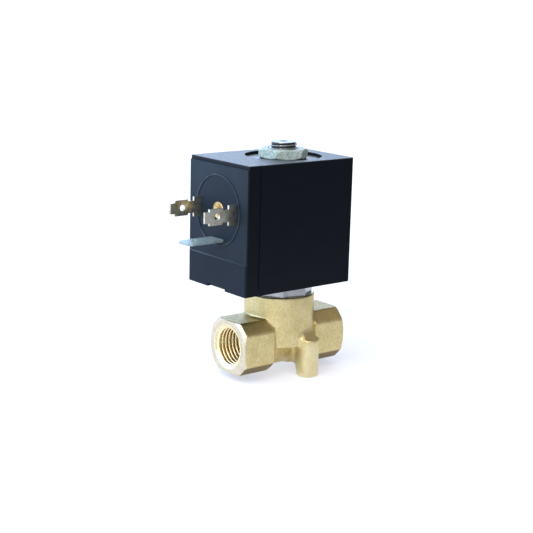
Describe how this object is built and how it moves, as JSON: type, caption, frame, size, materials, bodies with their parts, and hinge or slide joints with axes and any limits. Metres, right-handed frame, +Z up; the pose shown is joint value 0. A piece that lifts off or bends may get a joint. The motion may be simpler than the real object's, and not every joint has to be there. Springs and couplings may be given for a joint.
{
  "type": "solenoid valve",
  "caption": "Direct-acting two-way solenoid valve: forged brass body with threaded ports in wrench blocks and screw feet, boxy moulded coil with plug blades, stud and nut.",
  "frame": {"origin": "on the valve axis, at the middle of the two foot screws, level with the feet's lower faces", "axes": "+Z up along the valve axis; +X along the port axis towards the outlet, so the connector blades point to -X; +Y completes the right-handed set"},
  "size_m": [0.0585, 0.03, 0.0746],
  "materials": {
    "forged_brass": "blasted hot-forged brass, matte with a fine grain; ends, seat and threads machined bright",
    "nickel_plate": "bright plated steel with fine turning marks",
    "zinc_plate": "bright zinc plating with a faint green cast",
    "stainless": "ground stainless steel",
    "coil_resin": "satin black glass-filled resin, fine moulded grain",
    "bobbin_resin": "natural glass-filled polyamide",
    "copper": "enamelled copper wire",
    "pure_copper": "drawn copper",
    "tape": "polyester insulating tape",
    "tinned_brass": "tin-plated brass strip, blanked edges",
    "bright_tin": "bright tin-plated strip",
    "insert_brass": "turned free-cutting brass",
    "seal_rubber": "black fluoroelastomer",
    "spring_steel": "drawn stainless spring wire"
  },
  "bodies": {
    "valve": {"valve_body": "forged_brass", "tube_nut": "nickel_plate", "tube_seal": "seal_rubber", "guide_tube": "stainless", "fixed_core": "nickel_plate", "shading_ring": "pure_copper", "return_spring": "spring_steel", "coil_nut": "zinc_plate", "coil_washer": "spring_steel"},
    "coil": {"coil_housing": "coil_resin", "yoke": "zinc_plate", "bobbin": "bobbin_resin", "winding": "copper", "winding_tape": "tape", "earth_blade": "bright_tin", "screw_insert": "insert_brass", "power_blade_left": "tinned_brass", "power_blade_right": "tinned_brass", "lead_left": "copper", "lead_right": "copper"},
    "armature": {"plunger": "stainless", "plunger_seal": "seal_rubber"}
  },
  "joints": [
    {"name": "plunger_lift", "type": "slide", "parent": "valve", "child": "armature", "axis": [0, 0, 1], "range_m": [0, 0.0018], "stiffness_N_per_m": 300, "springref_m": -0.006, "deforming": ["return_spring"]},
    {"name": "coil_swivel", "type": "hinge", "parent": "valve", "child": "coil", "pos_m": [0, 0, 0.05], "axis": [0, 0, 1], "continuous": true}
  ]
}
